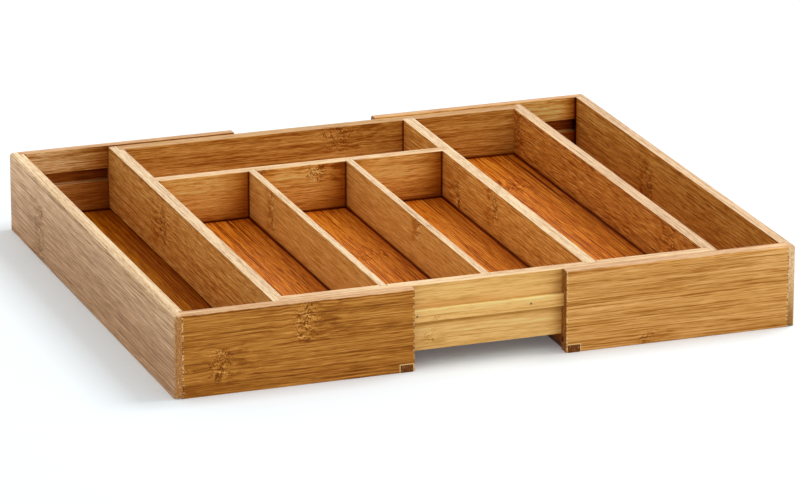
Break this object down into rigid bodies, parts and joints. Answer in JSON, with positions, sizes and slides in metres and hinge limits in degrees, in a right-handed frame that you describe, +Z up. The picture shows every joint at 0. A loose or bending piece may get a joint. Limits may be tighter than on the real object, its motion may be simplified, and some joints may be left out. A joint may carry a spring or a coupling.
{
  "type": "cutlery tray",
  "caption": "Extendable bamboo cutlery tray: a compartmented inner tray between two wings that slide out on rails to fit a drawer.",
  "frame": {"origin": "on the table, under the middle of the whole tray with its wings as stored", "axes": "+X to the right, along the way the wings slide; +Y to the back of the drawer, towards the crosswise compartment; +Z up"},
  "size_m": [0.497, 0.44, 0.065],
  "materials": {
    "wing_bamboo": "oiled carbonized bamboo, satin",
    "tray_bamboo": "oiled carbonized bamboo, satin",
    "pale_bamboo": "oiled natural bamboo, satin",
    "divider_bamboo": "oiled carbonized bamboo, satin",
    "floor_bamboo": "oiled dark bamboo, satin",
    "brad_steel": "dull steel"
  },
  "bodies": {
    "tray": {"tray_front_wall": "pale_bamboo", "tray_back_wall": "pale_bamboo", "tray_left_wall": "tray_bamboo", "tray_right_wall": "tray_bamboo", "tray_floor": "floor_bamboo", "cross_divider": "divider_bamboo", "long_divider": "divider_bamboo", "short_divider_left": "divider_bamboo", "short_divider_right": "divider_bamboo", "front_rail": "pale_bamboo", "back_rail": "pale_bamboo", "front_rail_brads": "brad_steel", "back_rail_brads": "brad_steel"},
    "left_wing": {"left_wing_end_wall": "wing_bamboo", "left_wing_front_wall": "wing_bamboo", "left_wing_back_wall": "wing_bamboo", "left_wing_floor": "floor_bamboo", "left_wing_crossbar": "wing_bamboo", "left_wing_stop_batten": "wing_bamboo"},
    "right_wing": {"right_wing_end_wall": "wing_bamboo", "right_wing_front_wall": "wing_bamboo", "right_wing_back_wall": "wing_bamboo", "right_wing_floor": "floor_bamboo", "right_wing_crossbar": "wing_bamboo", "right_wing_stop_batten": "wing_bamboo"}
  },
  "joints": [
    {"name": "left_wing_slide", "type": "slide", "parent": "tray", "child": "left_wing", "axis": [-1, 0, 0], "range_m": [-0.07, 0.031]},
    {"name": "right_wing_slide", "type": "slide", "parent": "tray", "child": "right_wing", "axis": [1, 0, 0], "range_m": [-0.049, 0.052]}
  ]
}
